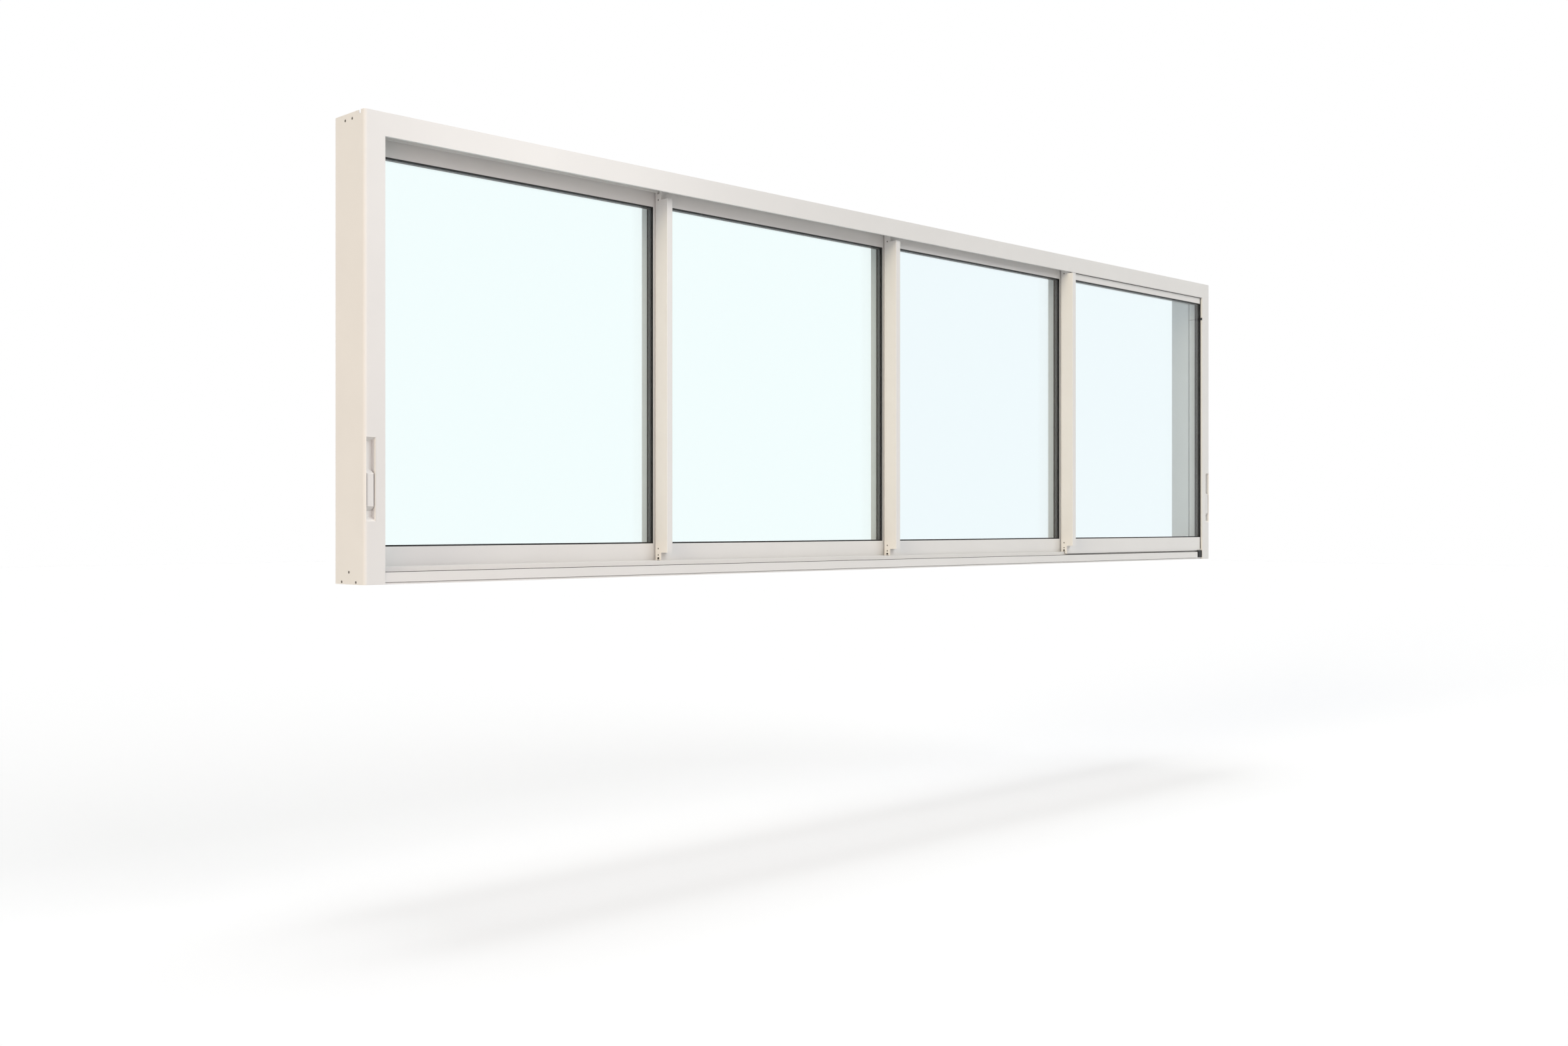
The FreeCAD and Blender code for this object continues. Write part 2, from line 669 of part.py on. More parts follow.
def gasket(name, place):
    """Rubber channel round the edge of the glass unit, with a bead on both faces."""
    body = new_body(name, *place)
    ring = new_sketch(body, "ring", "XZ_Plane", "-($sash_depth - $glazing_lip_wall)")
    draw_box(ring, unit_left + " - $gasket_wall", unit_low + " - $gasket_wall",
             unit_right + " + $gasket_wall", unit_high + " + $gasket_wall")
    draw_box(ring, sight_left, sight_low, sight_right, sight_high)
    pad(body, ring, "$sash_depth - 2 * $glazing_lip_wall")
    channel = new_sketch(body, "channel", "XZ_Plane", "-" + unit_front)
    draw_box(channel, unit_left, unit_low, unit_right, unit_high)
    pocket(body, channel, unit_back + " - " + unit_front)
    for face, back in (("front", "$glazing_lip_wall"), ("back", "$sash_depth - $bead_setback")):
        bead = new_sketch(body, face + "_bead", "XZ_Plane", "-(" + back + ")")
        draw_box(bead, "$stile_width", opening_low, sash_width + " - $stile_width",
                 opening_high)
        draw_box(bead, sight_left, sight_low, sight_right, sight_high)
        pad(body, bead, "$glazing_lip_wall - $bead_setback")
    return body


def spacer(name, place):
    """Spacer bar that keeps the two panes of a unit apart."""
    body = new_body(name, *place)
    ring = new_sketch(body, "ring", "XZ_Plane", "-(" + unit_back + " - $pane_thickness)")
    draw_box(ring, unit_left, unit_low, unit_right, unit_high)
    draw_box(ring, sight_left + " + $spacer_reveal", sight_low + " + $spacer_reveal",
             sight_right + " - $spacer_reveal", sight_high + " - $spacer_reveal")
    pad(body, ring, unit_back + " - " + unit_front + " - 2 * $pane_thickness")
    return body


def glass(name, place):
    """The two panes of a glass unit."""
    body = new_body(name, *place)
    section = new_sketch(body, "section", "XY_Plane", unit_low)
    draw_box(section, unit_left, unit_front, unit_right, unit_front + " + $pane_thickness")
    draw_box(section, unit_left, unit_back + " - $pane_thickness", unit_right, unit_back)
    pad(body, section, unit_high + " - " + unit_low)
    return body


def rollers(name, place):
    """Two roller carriages in the foot of a sash, standing on the sill's rail."""
    body = new_body(name, *place)
    low = "$rail_top_height + $rail_top_gap"
    side = "($sash_wall + $carriage_side_gap)"
    slot_half = "($wheel_width / 2 + $carriage_slot_gap)"
    axle_height = "$rail_top_height + $wheel_tread_radius"
    centres = ["($stile_width + $carriage_inset + $carriage_length / 2)",
               "(" + sash_width + " - $stile_width - $carriage_inset - $carriage_length / 2)"]
    blocks = new_sketch(body, "blocks", "XY_Plane", low)
    for centre in centres:
        draw_box(blocks, centre + " - $carriage_length / 2", side,
                 centre + " + $carriage_length / 2", "$sash_depth - " + side)
        draw_box(blocks, centre + " - $carriage_slot_length / 2",
                 sash_middle + " - " + slot_half,
                 centre + " + $carriage_slot_length / 2", sash_middle + " + " + slot_half)
    pad(body, blocks, sash_bottom + " + $roller_channel_height - (" + low + ")")
    for index, centre in enumerate(centres, start=1):
        wheel = new_sketch(body, "wheel_%d" % index, "YZ_Plane", centre)
        flange = axle_height + " + $wheel_flange_radius"
        tread = axle_height + " + $wheel_tread_radius"
        axle = axle_height + " + $axle_radius"
        wheel_front = sash_middle + " - $wheel_width / 2"
        wheel_back = sash_middle + " + $wheel_width / 2"
        groove_front = sash_middle + " - $wheel_groove_width / 2"
        groove_back = sash_middle + " + $wheel_groove_width / 2"
        draw_outline(wheel, [
            (side, axle_height), (side, axle), (wheel_front, axle), (wheel_front, flange),
            (groove_front, flange), (groove_front, tread), (groove_back, tread),
            (groove_back, flange), (wheel_back, flange), (wheel_back, axle),
            ("$sash_depth - " + side, axle), ("$sash_depth - " + side, axle_height)])
        axis = wheel.addGeometry(Part.LineSegment(
            FreeCAD.Vector(0, 1, 0), FreeCAD.Vector(start_radius, 1, 0)), True)
        wheel.addConstraint(Sketcher.Constraint("Horizontal", axis))
        hold(wheel, "DistanceX", axis, 1, 0.0, "0")
        hold(wheel, "DistanceY", axis, 1, 1.0, axle_height)
        hold(wheel, "DistanceX", axis, 2, start_radius, "$sash_depth")
        turned = body.newObject("PartDesign::Revolution", wheel.Name + "_turned")
        turned.Profile = wheel
        turned.ReferenceAxis = (wheel, ["Axis0"])
        turned.Angle = 360
        wheel.Visibility = False
    return body


parts = [head(), sill(), sill_front_lip(), sill_end_plug()]

for side, edge, inward in (("left", left_edge, ""), ("right", right_edge, "-")):
    parts.append(jamb(side + "_jamb", edge, inward))
    parts.append(latch_case(side + "_latch_case", edge, inward))
    parts.append(latch_slide(side + "_latch_slide", edge, inward))

rear_sash_fin = "$first_sash_setback + 3 * $track_pitch - $fin_depth"
front_sash_fin = "$first_sash_setback + $sash_depth + $fin_depth"
left_filler = jamb_filler("left_jamb_filler", left_edge, "", "$jamb_lip_depth",
                          rear_sash_fin + " - $filler_gap")
latch_clearance(left_filler)
parts.append(left_filler)
parts.append(jamb_filler("right_jamb_filler", right_edge, "-",
                         front_sash_fin + " + $filler_gap", lip_back))

for number in range(1, 5):
    place = sash_place(number)
    sash = "sash_%d_" % number
    parts.append(stile(sash + "left_stile", place, "left"))
    parts.append(stile(sash + "right_stile", place, "right"))
    parts.append(top_rail(sash + "top_rail", place))
    parts.append(bottom_rail(sash + "bottom_rail", place))
    parts.append(gasket(sash + "gasket", place))
    parts.append(spacer(sash + "spacer", place))
    parts.append(glass(sash + "glass", place))
    parts.append(rollers(sash + "rollers", place))

doc.recompute()

# Nothing is written unless every object and every shape is sound
for item in doc.Objects:
    if "Invalid" in item.State or "Error" in item.State:
        raise RuntimeError("failed: " + item.Name + " " + str(item.State))
for piece in parts:
    if piece.Shape.isNull() or not piece.Shape.isValid():
        raise RuntimeError("bad shape: " + piece.Label)

os.makedirs("parts", exist_ok=True)
for piece in parts:
    piece.Shape.exportStep("parts/" + piece.Label + ".step")
    box = piece.Shape.BoundBox
    print("%-24s %2d solids %10.0f mm3  x %.1f..%.1f  y %.1f..%.1f  z %.1f..%.1f" % (
        piece.Label, len(piece.Shape.Solids), piece.Shape.Volume,
        box.XMin, box.XMax, box.YMin, box.YMax, box.ZMin, box.ZMax))
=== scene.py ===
import math
import random

import bmesh
import bpy
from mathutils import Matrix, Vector


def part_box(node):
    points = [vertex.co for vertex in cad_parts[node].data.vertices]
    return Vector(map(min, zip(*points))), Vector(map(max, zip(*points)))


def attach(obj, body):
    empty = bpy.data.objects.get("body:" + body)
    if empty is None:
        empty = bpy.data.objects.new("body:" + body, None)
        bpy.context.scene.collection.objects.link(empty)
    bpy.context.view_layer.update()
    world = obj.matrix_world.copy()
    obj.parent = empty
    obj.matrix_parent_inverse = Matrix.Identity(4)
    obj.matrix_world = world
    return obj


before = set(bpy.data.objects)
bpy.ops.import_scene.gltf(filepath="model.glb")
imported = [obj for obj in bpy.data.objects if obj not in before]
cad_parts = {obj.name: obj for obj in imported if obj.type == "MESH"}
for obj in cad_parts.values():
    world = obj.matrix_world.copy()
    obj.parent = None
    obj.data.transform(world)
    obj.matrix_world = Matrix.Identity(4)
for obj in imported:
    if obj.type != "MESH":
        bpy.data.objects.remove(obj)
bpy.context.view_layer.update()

# Camera: level with the lower part of the window and 45 degrees to its left, as in
# the reference view. Its place is measured from the frame's front left bottom corner,
# and the lens comes from the focal length in pixels of the full frame.
IMAGE_WIDTH_PX = 2351
FOCAL_PX = 2332.5
SENSOR_MM = 36.0
camera_left_of_frame = 1.6823
camera_before_frame = 2.9260
camera_height = 0.1306
camera_level = math.radians(90)
camera_heading = math.radians(-45)

left_jamb_low, left_jamb_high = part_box("left_jamb")
frame_left = left_jamb_low.x
frame_front = left_jamb_low.y

lens = bpy.data.cameras.new("view_camera")
lens.sensor_width = SENSOR_MM
lens.lens = FOCAL_PX / IMAGE_WIDTH_PX * SENSOR_MM
camera = bpy.data.objects.new("view_camera", lens)
camera.location = (frame_left - camera_left_of_frame, frame_front - camera_before_frame,
                   camera_height)
camera.rotation_euler = (camera_level, 0, camera_heading)
scene = bpy.context.scene
scene.collection.objects.link(camera)
scene.camera = camera

# Studio: a white surround with soft light from overhead and from high in front, warm
# light from the left, and two lamps that brighten the head's left end and the left jamb
# with the sashes next to it.
scene.view_settings.view_transform = "Standard"
surround_light = (0.97, 0.98, 1.0, 1)
surround_strength = 0.29
WHITE = (1, 1, 1, 1)


def directly_seen(tree):
    """1 for rays from the camera, off gloss or through glass, and 0 for all others."""
    rays = tree.nodes.new("ShaderNodeLightPath")
    seen = rays.outputs["Is Camera Ray"]
    for kind in ("Is Glossy Ray", "Is Transmission Ray"):
        either = tree.nodes.new("ShaderNodeMath")
        either.operation = "MAXIMUM"
        tree.links.new(seen, either.inputs[0])
        tree.links.new(rays.outputs[kind], either.inputs[1])
        seen = either.outputs[0]
    return seen


surround = bpy.data.worlds.new("white_surround")
surround.use_nodes = True
tree = surround.node_tree
tree.nodes.clear()
lighting = tree.nodes.new("ShaderNodeBackground")
lighting.inputs["Color"].default_value = surround_light
lighting.inputs["Strength"].default_value = surround_strength
backdrop = tree.nodes.new("ShaderNodeBackground")
backdrop.inputs["Color"].default_value = WHITE
backdrop.inputs["Strength"].default_value = 1.0
choice = tree.nodes.new("ShaderNodeMixShader")
world_out = tree.nodes.new("ShaderNodeOutputWorld")
tree.links.new(directly_seen(tree), choice.inputs["Fac"])
tree.links.new(lighting.outputs[0], choice.inputs[1])
tree.links.new(backdrop.outputs[0], choice.inputs[2])
tree.links.new(choice.outputs[0], world_out.inputs["Surface"])
scene.world = surround


def hang_light(name, light, towards):
    """Put a light in the scene so that it shines from the direction towards."""
    holder = bpy.data.objects.new(name, light)
    holder.rotation_euler = (-Vector(towards)).to_track_quat("-Z", "Y").to_euler()
    holder.visible_glossy = False
    scene.collection.objects.link(holder)
    return holder


def far_light(name, towards, strength, spread, colour):
    """Parallel light that comes from the direction towards, softened by spread degrees."""
    sun = bpy.data.lights.new(name, "SUN")
    sun.energy = strength
    sun.angle = math.radians(spread)
    sun.color = colour
    hang_light(name, sun, towards)


def studio_lamp(name, place, target, side, watts, spread, colour):
    """A square lamp at place that faces target, with its beam narrowed to spread degrees."""
    lamp = bpy.data.lights.new(name, "AREA")
    lamp.size = side
    lamp.spread = math.radians(spread)
    lamp.energy = watts
    lamp.color = colour
    holder = hang_light(name, lamp, Vector(place) - Vector(target))
    holder.location = place


far_light("overhead_light", towards=(0, 0, 1), strength=1.38, spread=38,
          colour=(0.975, 0.985, 1.0))
far_light("front_light", towards=(0.28, -0.80, 0.53), strength=1.21, spread=44,
          colour=(1.0, 1.0, 1.0))
far_light("warm_side_light", towards=(-1.0, -0.20, 0.27), strength=1.44, spread=22,
          colour=(1.0, 0.85, 0.62))
studio_lamp("head_lamp", place=(-1.3, -1.15, 1.2), target=(-1.3, 0, 0.9), side=0.5,
            watts=0.69, spread=90, colour=(1.0, 1.0, 1.0))
studio_lamp("left_lamp", place=(-3.4, -1.9, 0.6), target=(-1.0, 0, 0.45), side=1.2,
            watts=1.05, spread=60, colour=(1.0, 0.53, 0.43))

# Floor: a pale studio floor well below the window. It is white where the camera, glass
# or gloss sees it, and lights the window's underside as a light grey floor does.
floor_drop = 0.76
floor_half = 30
floor_grey = (0.58, 0.58, 0.58, 1)
floor_white = (0.973, 0.983, 0.996, 1)

floor_mesh = bpy.data.meshes.new("studio_floor")
floor_mesh.from_pydata(
    [(-floor_half, -floor_half, -floor_drop), (floor_half, -floor_half, -floor_drop),
     (floor_half, floor_half, -floor_drop), (-floor_half, floor_half, -floor_drop)],
    [], [(0, 1, 2, 3)])
floor = bpy.data.objects.new("studio_floor", floor_mesh)
scene.collection.objects.link(floor)
floor_finish = bpy.data.materials.new("studio_floor")
floor_finish.use_nodes = True
tree = floor_finish.node_tree
tree.nodes.clear()
bounced = tree.nodes.new("ShaderNodeBsdfDiffuse")
bounced.inputs["Color"].default_value = floor_grey
shown = tree.nodes.new("ShaderNodeBsdfDiffuse")
shown.inputs["Color"].default_value = floor_white
choice = tree.nodes.new("ShaderNodeMixShader")
floor_out = tree.nodes.new("ShaderNodeOutputMaterial")
tree.links.new(directly_seen(tree), choice.inputs["Fac"])
tree.links.new(bounced.outputs[0], choice.inputs[1])
tree.links.new(shown.outputs[0], choice.inputs[2])
tree.links.new(choice.outputs[0], floor_out.inputs["Surface"])
floor_mesh.materials.append(floor_finish)


# Frame: extruded aluminium head, sill, jambs and closing profiles, cut square and
# screwed together at the corners, then powder-coated satin white. The coat has a very
# fine orange-peel texture and faint changes of tone.
def powder_coat(name, colour, roughness):
    """Satin powder coat: even colour with a fine grain in bump, tone and gloss."""
    cloud_scale = 7
    cloud_detail = 5
    cloud_edges = (0.3, 0.7)
    darker_share = 0.975
    peel_scale = 900
    peel_detail = 2
    peel_strength = 0.12
    peel_depth = 0.00012
    gloss_change = 0.05
    shine = 0.4

    coat = bpy.data.materials.new(name)
    coat.use_nodes = True
    nodes = coat.node_tree.nodes
    links = coat.node_tree.links
    surface = nodes["Principled BSDF"]
    surface.inputs["Specular IOR Level"].default_value = shine
    place = nodes.new("ShaderNodeTexCoord")
    clouds = nodes.new("ShaderNodeTexNoise")
    clouds.inputs["Scale"].default_value = cloud_scale
    clouds.inputs["Detail"].default_value = cloud_detail
    tone = nodes.new("ShaderNodeValToRGB")
    darker, lighter = tone.color_ramp.elements
    darker.position, lighter.position = cloud_edges
    darker.color = [*(channel * darker_share for channel in colour), 1]
    lighter.color = [*colour, 1]
    peel = nodes.new("ShaderNodeTexNoise")
    peel.inputs["Scale"].default_value = peel_scale
    peel.inputs["Detail"].default_value = peel_detail
    gloss = nodes.new("ShaderNodeMapRange")
    gloss.inputs["To Min"].default_value = roughness - gloss_change
    gloss.inputs["To Max"].default_value = roughness + gloss_change
    relief = nodes.new("ShaderNodeBump")
    relief.inputs["Strength"].default_value = peel_strength
    relief.inputs["Distance"].default_value = peel_depth
    links.new(place.outputs["Object"], clouds.inputs["Vector"])
    links.new(place.outputs["Object"], peel.inputs["Vector"])
    links.new(clouds.outputs["Fac"], tone.inputs["Fac"])
    links.new(tone.outputs["Color"], surface.inputs["Base Color"])
    links.new(peel.outputs["Fac"], gloss.inputs["Value"])
    links.new(gloss.outputs["Result"], surface.inputs["Roughness"])
    links.new(peel.outputs["Fac"], relief.inputs["Height"])
    links.new(relief.outputs["Normal"], surface.inputs["Normal"])
    return coat


def finish_nodes(names, material):
    """Give CAD nodes a finish without touching their meshes."""
    for name in names:
        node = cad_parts[name]
        if not node.material_slots:
            node.data.materials.append(material)
        for slot in node.material_slots:
            slot.material = material


frame_coat = powder_coat("frame_powder_coat", colour=(0.82, 0.815, 0.80), roughness=0.42)
finish_nodes(["head", "sill", "sill_front_lip", "left_jamb", "right_jamb",
              "left_jamb_filler", "right_jamb_filler"], frame_coat)

# Front rail's face: a thin coated aluminium strip that closes the front of the first
# rail below its cap, so that a plain band shows above the fascia.
millimetre = 0.001
rail_setback = 9.7 * millimetre
strip_thickness = 0.2 * millimetre
strip_foot = 20 * millimetre
strip_top_gap = 0.2 * millimetre
strip_rounding = 0.06 * millimetre


def add_box(mesh, low, high):
    """Add a box between two corners given in metres."""
    corners = [mesh.verts.new((x, y, z)) for x in (low[0], high[0])
               for y in (low[1], high[1]) for z in (low[2], high[2])]
    for face in ((0, 1, 3, 2), (4, 6, 7, 5), (0, 4, 5, 1), (2, 3, 7, 6), (0, 2, 6, 4),
                 (1, 5, 7, 3)):
        mesh.faces.new([corners[index] for index in face])


def round_edges(mesh, radius):
    """Round every edge of what has been added so far."""
    bmesh.ops.bevel(mesh, geom=mesh.edges[:], offset=radius, segments=3, profile=0.5,
                    affect="EDGES")


def frame_piece(name, mesh, materials):
    """Turn finished mesh code into a piece that is fixed to the window."""
    bmesh.ops.recalc_face_normals(mesh, faces=mesh.faces)
    data = bpy.data.meshes.new(name)
    mesh.to_mesh(data)
    mesh.free()
    for material in materials:
        data.materials.append(material)
    piece = bpy.data.objects.new(name, data)
    scene.collection.objects.link(piece)
    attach(piece, "root")


sill_low, sill_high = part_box("sill")
opening_left = left_jamb_high.x
opening_right = -opening_left
rail_front = sill_low.y + rail_setback
strip = bmesh.new()
add_box(strip, (opening_left, rail_front - strip_thickness, strip_foot),
        (opening_right, rail_front, sill_high.z - strip_top_gap))
round_edges(strip, strip_rounding)
frame_piece("front_rail_face", strip, [frame_coat])

# Sash profiles: slimmer extrusions in the same coat, two stiles with pull fins and two
# rails to each of the four sashes.
SASHES = range(1, 5)
sash_coat = powder_coat("sash_powder_coat", colour=(0.83, 0.825, 0.81), roughness=0.40)
finish_nodes(["sash_%d_%s" % (number, piece) for number in SASHES
              for piece in ("left_stile", "right_stile", "top_rail", "bottom_rail")], sash_coat)


# Glass units: two clear panes with a faint cyan tint, held apart by a dark spacer bar
# and set in black rubber that shows as a thin line along the profiles.
def clear_pane(name, tint):
    """Float glass: tinted on the way through, with a mirror that grows at a slant."""
    mirrored_head_on = 0.04
    growth_power = 5
    shadow_tint = (0.82, 0.815, 0.81, 1)

    pane = bpy.data.materials.new(name)
    pane.use_nodes = True
    tree = pane.node_tree
    tree.nodes.remove(tree.nodes["Principled BSDF"])
    light_through = tree.nodes.new("ShaderNodeBsdfTransparent")
    light_through.inputs["Color"].default_value = tint
    reflection = tree.nodes.new("ShaderNodeBsdfGlossy")
    reflection.inputs["Color"].default_value = WHITE
    reflection.inputs["Roughness"].default_value = 0.0
    slant = tree.nodes.new("ShaderNodeLayerWeight")
    slant.inputs["Blend"].default_value = 0.5
    grazing = tree.nodes.new("ShaderNodeMath")
    grazing.operation = "POWER"
    grazing.inputs[1].default_value = growth_power
    mirrored = tree.nodes.new("ShaderNodeMath")
    mirrored.operation = "MULTIPLY_ADD"
    mirrored.inputs[1].default_value = 1 - mirrored_head_on
    mirrored.inputs[2].default_value = mirrored_head_on
    seen_pane = tree.nodes.new("ShaderNodeMixShader")
    shade = tree.nodes.new("ShaderNodeBsdfTransparent")
    shade.inputs["Color"].default_value = shadow_tint
    pane_rays = tree.nodes.new("ShaderNodeLightPath")
    choice = tree.nodes.new("ShaderNodeMixShader")
    tree.links.new(slant.outputs["Facing"], grazing.inputs[0])
    tree.links.new(grazing.outputs[0], mirrored.inputs[0])
    tree.links.new(mirrored.outputs[0], seen_pane.inputs["Fac"])
    tree.links.new(light_through.outputs[0], seen_pane.inputs[1])
    tree.links.new(reflection.outputs[0], seen_pane.inputs[2])
    tree.links.new(pane_rays.outputs["Is Shadow Ray"], choice.inputs["Fac"])
    tree.links.new(seen_pane.outputs[0], choice.inputs[1])
    tree.links.new(shade.outputs[0], choice.inputs[2])
    tree.links.new(choice.outputs[0], tree.nodes["Material Output"].inputs["Surface"])
    return pane


left_panes = clear_pane("clear_pane_left", tint=(0.9707, 0.9978, 0.9978, 1))
right_panes = clear_pane("clear_pane_right", tint=(0.9641, 0.9888, 0.9955, 1))
finish_nodes(["sash_1_glass", "sash_2_glass"], left_panes)
finish_nodes(["sash_3_glass", "sash_4_glass"], right_panes)


def matt_finish(name, colour, roughness, grain):
    """Plain finish whose gloss and surface change with a fine grain."""
    gloss_change = 0.08
    grain_strength = 0.2
    grain_depth = 0.0001

    finish = bpy.data.materials.new(name)
    finish.use_nodes = True
    nodes = finish.node_tree.nodes
    links = finish.node_tree.links
    surface = nodes["Principled BSDF"]
    surface.inputs["Base Color"].default_value = (*colour, 1)
    place = nodes.new("ShaderNodeTexCoord")
    speck = nodes.new("ShaderNodeTexNoise")
    speck.inputs["Scale"].default_value = grain
    gloss = nodes.new("ShaderNodeMapRange")
    gloss.inputs["To Min"].default_value = roughness - gloss_change
    gloss.inputs["To Max"].default_value = roughness + gloss_change
    relief = nodes.new("ShaderNodeBump")
    relief.inputs["Strength"].default_value = grain_strength
    relief.inputs["Distance"].default_value = grain_depth
    links.new(place.outputs["Object"], speck.inputs["Vector"])
    links.new(speck.outputs["Fac"], gloss.inputs["Value"])
    links.new(gloss.outputs["Result"], surface.inputs["Roughness"])
    links.new(speck.outputs["Fac"], relief.inputs["Height"])
    links.new(relief.outputs["Normal"], surface.inputs["Normal"])
    return finish


gasket_rubber = matt_finish("gasket_rubber", colour=(0.012, 0.012, 0.013), roughness=0.55,
                            grain=700)
finish_nodes(["sash_%d_gasket" % number for number in SASHES] + ["sill_end_plug"],
             gasket_rubber)
spacer_bar = matt_finish("spacer_bar", colour=(0.062, 0.062, 0.063), roughness=0.45, grain=400)
finish_nodes(["sash_%d_spacer" % number for number in SASHES], spacer_bar)

# Rollers: dark moulded carriages, two in the foot of each sash, whose grooved wheels
# stand on the sill's rails.
roller_plastic = matt_finish("roller_plastic", colour=(0.03, 0.03, 0.032), roughness=0.5,
                             grain=300)
finish_nodes(["sash_%d_rollers" % number for number in SASHES], roller_plastic)

# Slide latches: a flush tray pressed into the front of each jamb and a grip bar that slides in
# it, both cast and coated like the frame. The tray's coat is a little lighter: painted light
# that stands in for the warm side light falling on the tray's inner walls.
tray_coat_painted_light = powder_coat("latch_tray_coat_painted_light", colour=(0.88, 0.87, 0.85), roughness=0.38)
finish_nodes(["left_latch_case", "right_latch_case"], tray_coat_painted_light)
slide_coat = powder_coat("latch_slide_coat", colour=(0.81, 0.805, 0.79), roughness=0.38)
finish_nodes(["left_latch_slide", "right_latch_slide"], slide_coat)

# Screws: countersunk steel screws, driven through the jambs into the head and the sill and
# through each stile into its rails, flush with the face, with a cross recess. The heads' deep
# grey is partly the steel and partly painted shade for the countersunk holes, and the recess is
# painted near black as shade.
screw_steel_and_hole_shade = matt_finish("screw_steel_and_hole_shade", colour=(0.20, 0.185, 0.165), roughness=0.45, grain=900)
recess_shadow = matt_finish("recess_shadow", colour=(0.02, 0.018, 0.016), roughness=0.8,
                            grain=900)
HEAD_POINTS = 24
screw_sink = 0.3 * millimetre
screw_stand = 0.1 * millimetre
recess_level = 0.02 * millimetre
rim_share = 0.94
recess_share = 0.66
recess_foot_share = 0.62


def round_reach(angle):
    """A round outline reaches 1 at every angle."""
    return 1


def cross_reach(angle):
    """How far a cross-shaped recess of reach 1 goes from its middle at an angle."""
    nearly_zero = 1e-6
    along = max(abs(math.cos(angle)), nearly_zero)
    across = max(abs(math.sin(angle)), nearly_zero)
    arm = math.tan(math.radians(15))
    flat = min(1 / along, arm / across)
    upright = min(arm / along, 1 / across)
    return max(flat, upright)


def add_screw(mesh, face_x, facing, middle, radius, stretch=1.0, recess=cross_reach):
    """Add a flush head to a face at face_x; middle is its (y, z) and facing -1 or 1."""
    rings = []
    for height, reach, share in (
            (-screw_sink, round_reach, 1.0), (0, round_reach, 1.0),
            (screw_stand, round_reach, rim_share), (screw_stand, recess, recess_share),
            (recess_level, recess, recess_foot_share)):
        ring = []
        for point in range(HEAD_POINTS):
            angle = math.tau * point / HEAD_POINTS
            span = radius * share * reach(angle)
            ring.append(mesh.verts.new((face_x + facing * height,
                                        middle[0] + stretch * span * math.cos(angle),
                                        middle[1] + span * math.sin(angle))))
        rings.append(ring)
    recess_wall = len(rings) - 2
    mesh.faces.new(rings[0])
    for level, (ring, above) in enumerate(zip(rings, rings[1:])):
        for point in range(HEAD_POINTS):
            after = (point + 1) % HEAD_POINTS
            side = mesh.faces.new((ring[point], ring[after], above[after], above[point]))
            side.material_index = 1 if level == recess_wall else 0
    mesh.faces.new(rings[-1]).material_index = 1


# Each jamb has two screws into the head and three into the sill, placed by y and z.
jamb_screw_radius = 3.2 * millimetre
jamb_screws = [(-0.0135, 0.987), (0.0155, 0.987), (0.0005, 0.026), (-0.0285, 0.005),
               (0.0305, 0.005)]
for side, face_x, facing in (("left", frame_left, -1), ("right", -frame_left, 1)):
    heads = bmesh.new()
    for middle in jamb_screws:
        add_screw(heads, face_x, facing, middle, jamb_screw_radius)
    frame_piece(side + "_jamb_screws", heads, [screw_steel_and_hole_shade, recess_shadow])

# Each stile has two screws into the bottom rail and one into the top rail. Below them
# is the oval socket of the screw that sets the roller's height.
stile_screw_radius = 2.2 * millimetre
stile_screw_heights = (0.050, 0.066, 0.9446)
adjuster_radius = 2.9 * millimetre
adjuster_height = 0.0418
adjuster_stretch = 1.3
adjuster_opening = 1.2


def adjuster_reach(angle):
    """The socket's opening is oval and fills most of its head."""
    return adjuster_opening


for number in SASHES:
    glass_low, glass_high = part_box("sash_%d_glass" % number)
    stile_middle = (glass_low.y + glass_high.y) / 2
    for side, corner, facing in (("left", 0, -1), ("right", 1, 1)):
        face_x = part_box("sash_%d_%s_stile" % (number, side))[corner].x
        heads = bmesh.new()
        for height in stile_screw_heights:
            add_screw(heads, face_x, facing, (stile_middle, height), stile_screw_radius)
        add_screw(heads, face_x, facing, (stile_middle, adjuster_height), adjuster_radius,
                  adjuster_stretch, adjuster_reach)
        frame_piece("sash_%d_%s_screws" % (number, side), heads,
                    [screw_steel_and_hole_shade, recess_shadow])

# Fascia shadow line: a thin dark bead along the top edge of the fascia, where it is clipped to
# the sill. Its dark grey is painted shade for the shadow gap there, seen as a fine dark line.
# Dark finish: real rubber at the fin joint, painted shade in the bead along the fascia.
joint_rubber_and_painted_shade = matt_finish("joint_rubber_and_painted_shade", colour=(0.10, 0.095, 0.09), roughness=0.7, grain=600)
bead_height = 1.3 * millimetre
bead_inset = 0.3 * millimetre
bead_rounding = 0.3 * millimetre
fascia_low, fascia_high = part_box("sill_front_lip")
bead = bmesh.new()
add_box(bead, (fascia_low.x, fascia_low.y + bead_inset, fascia_high.z),
        (fascia_high.x, fascia_high.y - bead_inset, fascia_high.z + bead_height))
round_edges(bead, bead_rounding)
frame_piece("fascia_painted_shadow_line", bead, [joint_rubber_and_painted_shade])

# Weather pile: a dark brush strip behind the right jamb's front lip and the head's, whose
# fine bristles stand out past the lip and close the gap to the front sash.
pile_fibre = matt_finish("pile_fibre", colour=(0.035, 0.033, 0.032), roughness=0.9, grain=1500)
BRISTLE_SEED = 4
pile_gap = 0.1 * millimetre
pile_foot = 38 * millimetre
pile_seat = 5 * millimetre
seat_setback = 0.2 * millimetre
bristle_root = 0.3 * millimetre
bristle_pitch = 1.0 * millimetre
bristle_width = 0.8 * millimetre
jamb_bristle_reach = 2.9 * millimetre
jamb_bristle_range = (0.88, 1.12)
head_bristle_reach = 1.4 * millimetre
head_bristle_range = (0.85, 1.15)

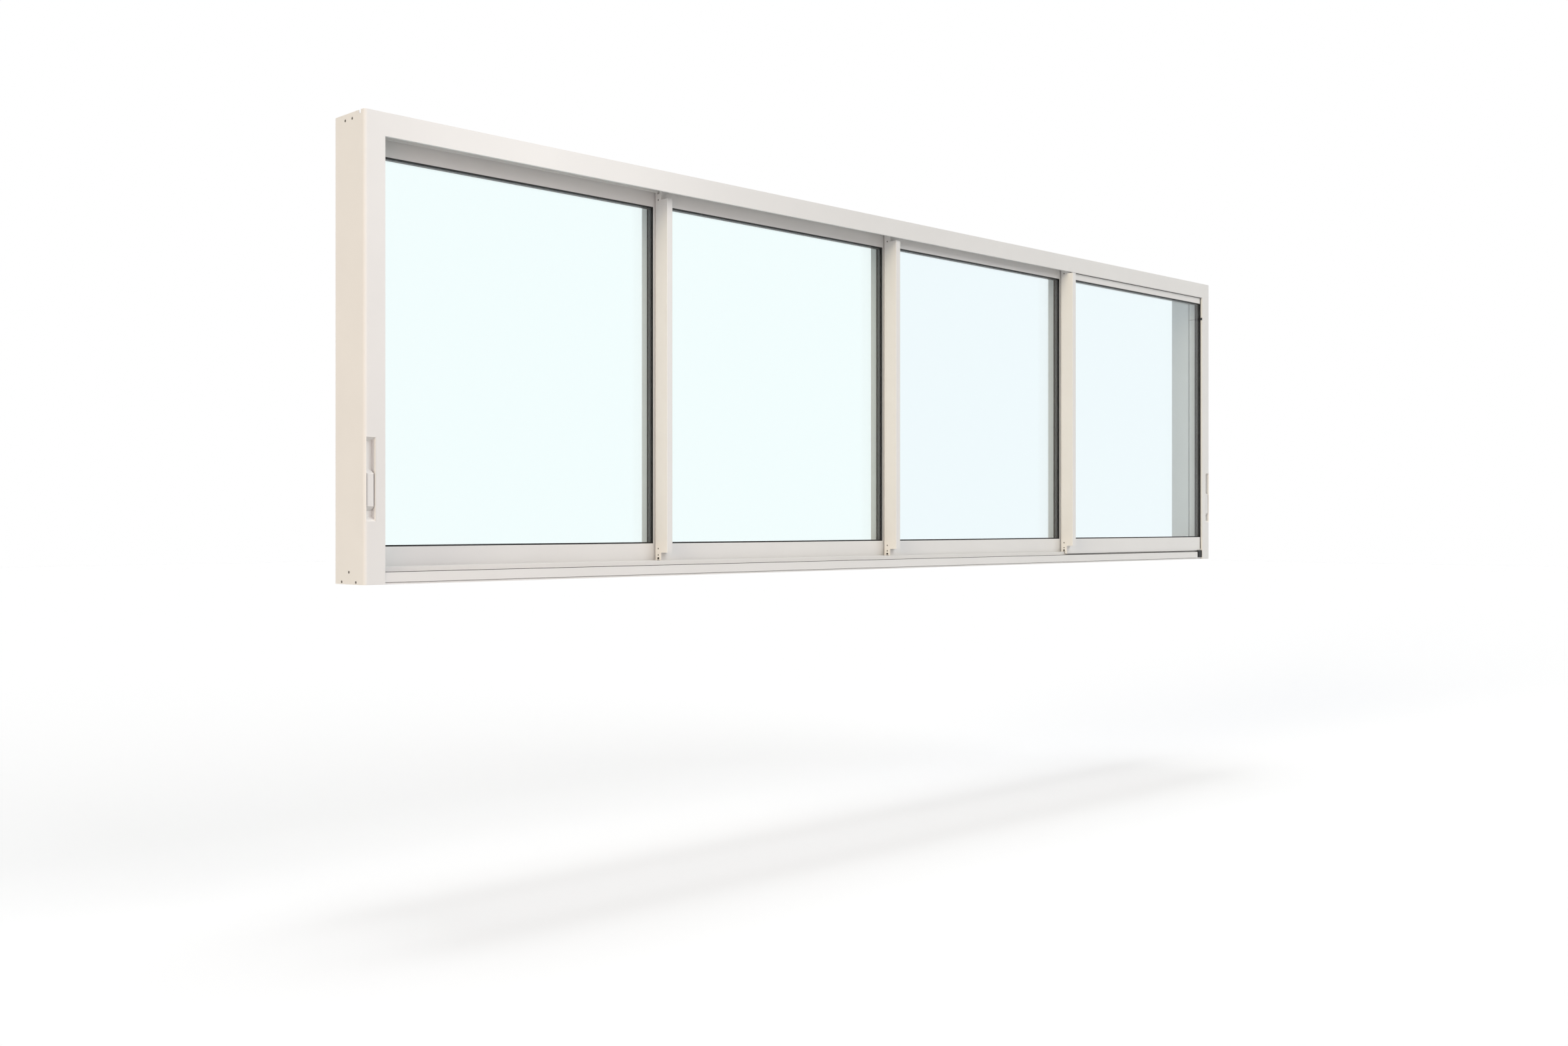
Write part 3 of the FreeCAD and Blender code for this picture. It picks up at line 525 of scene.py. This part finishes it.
head_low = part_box("head")[0]
rail_low, rail_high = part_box("sash_4_top_rail")
pile_front = sill_low.y + pile_gap
pile_back = rail_low.y - pile_gap
bristle_lengths = random.Random(BRISTLE_SEED)
pile = bmesh.new()
add_box(pile, (opening_right + seat_setback, pile_front, pile_foot),
        (opening_right + pile_seat, pile_back, head_low.z + pile_seat))
add_box(pile, (rail_low.x, pile_front, head_low.z + seat_setback),
        (opening_right, pile_back, head_low.z + pile_seat))
for step in range(int((head_low.z - pile_foot) / bristle_pitch)):
    z = pile_foot + step * bristle_pitch
    tip = opening_right - jamb_bristle_reach * bristle_lengths.uniform(*jamb_bristle_range)
    add_box(pile, (tip, pile_front, z),
            (opening_right + bristle_root, pile_back, z + bristle_width))
for step in range(int((opening_right - rail_low.x) / bristle_pitch)):
    x = rail_low.x + step * bristle_pitch
    tip = head_low.z - head_bristle_reach * bristle_lengths.uniform(*head_bristle_range)
    add_box(pile, (x, pile_front, tip),
            (x + bristle_width, pile_back, head_low.z + bristle_root))
frame_piece("weather_pile", pile, [pile_fibre])

# Jamb buffer: a small moulded rubber stop on the inner face of the right jamb's front
# lip, which the front sash meets when it closes.
buffer_height = 0.873
buffer_size = 8 * millimetre
buffer_reach = 3 * millimetre
buffer_front_gap = 0.4 * millimetre
buffer_back_gap = 0.1 * millimetre
buffer_rounding = 0.8 * millimetre
buffer_foot = buffer_height - buffer_size / 2
stop = bmesh.new()
add_box(stop, (opening_right - buffer_reach, frame_front + buffer_front_gap, buffer_foot),
        (opening_right, sill_low.y - buffer_back_gap, buffer_height + buffer_size / 2))
round_edges(stop, buffer_rounding)
frame_piece("right_jamb_buffer", stop, [gasket_rubber])

# Fin joint: a fine sealed joint across the pull fin of the last stile, where the cover
# of the fin ends near its top.
joint_height = 0.872
joint_width = 1.0 * millimetre
joint_stand = 0.1 * millimetre
joint_sink = 0.3 * millimetre
joint_front_gap = 1.5 * millimetre
joint_back_gap = 1.0 * millimetre
joint_rounding = 0.05 * millimetre
stile_low, stile_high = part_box("sash_4_right_stile")
joint = bmesh.new()
add_box(joint, (stile_low.x - joint_stand, rail_high.y + joint_front_gap, joint_height),
        (stile_low.x + joint_sink, stile_high.y - joint_back_gap, joint_height + joint_width))
round_edges(joint, joint_rounding)
frame_piece("fin_joint", joint, [joint_rubber_and_painted_shade])
